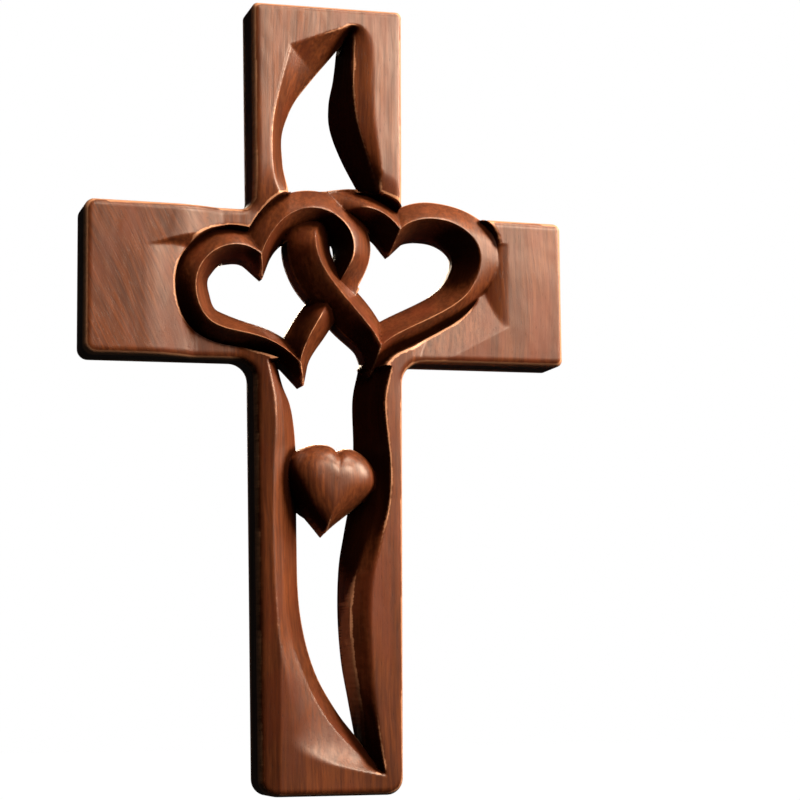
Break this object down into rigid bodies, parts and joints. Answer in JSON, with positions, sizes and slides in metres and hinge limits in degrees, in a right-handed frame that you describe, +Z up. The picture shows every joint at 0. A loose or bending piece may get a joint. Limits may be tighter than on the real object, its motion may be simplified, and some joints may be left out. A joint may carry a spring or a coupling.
{
  "type": "wall cross",
  "caption": "Carved walnut wall cross pierced by flowing openings, with linked hearts carved at its crossing and a small solid heart set in the opening below them.",
  "frame": {"origin": "mouth of the hanging hole, in the flat back of the upper limb", "axes": "+Z up along the post, +Y out of the flat back towards the wall, +X to the right as seen from the front"},
  "size_m": [0.1864, 0.0234, 0.3],
  "materials": {
    "walnut": "satin"
  },
  "bodies": {
    "root": {"carved_cross": "walnut"}
  },
  "joints": []
}
